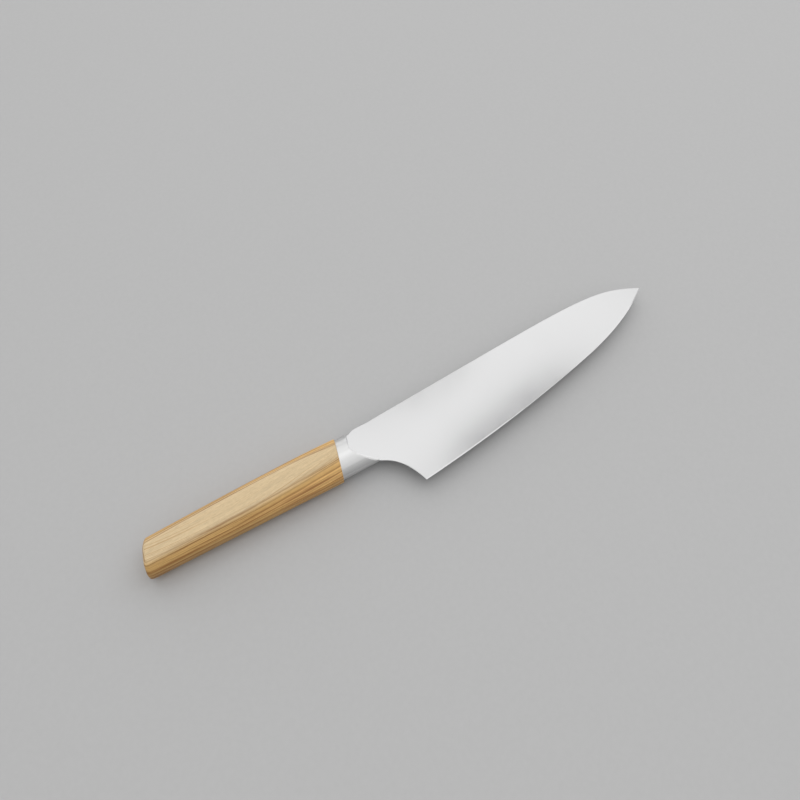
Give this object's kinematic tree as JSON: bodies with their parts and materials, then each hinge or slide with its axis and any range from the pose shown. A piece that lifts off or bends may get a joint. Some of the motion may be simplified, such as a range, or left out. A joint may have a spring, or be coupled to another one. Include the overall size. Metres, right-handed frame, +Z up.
{
  "type": "gyuto knife",
  "caption": "Japanese chef's knife: flat-ground steel blade with a curved belly, a polished bolster with a scooped front, and an octagonal pale wood handle with slanted ends.",
  "frame": {"origin": "middle of the underside of the whole knife as it lies on its left side", "axes": "+X along the spine from butt to tip, +Y from the edge towards the spine, +Z up out of the right side of the blade"},
  "size_m": [0.3158, 0.0502, 0.0162],
  "materials": {
    "blade_steel": "satin, with fine scratch lines across the blade",
    "bolster_steel": "polished, with soft brush lines",
    "handle_wood": "smooth pressed laminate, satin, with fine lengthwise grain",
    "bond_resin": "cured adhesive, not seen"
  },
  "bodies": {
    "root": {"blade": "blade_steel", "bolster": "bolster_steel", "handle": "handle_wood", "tang_bond": "bond_resin"}
  },
  "joints": []
}
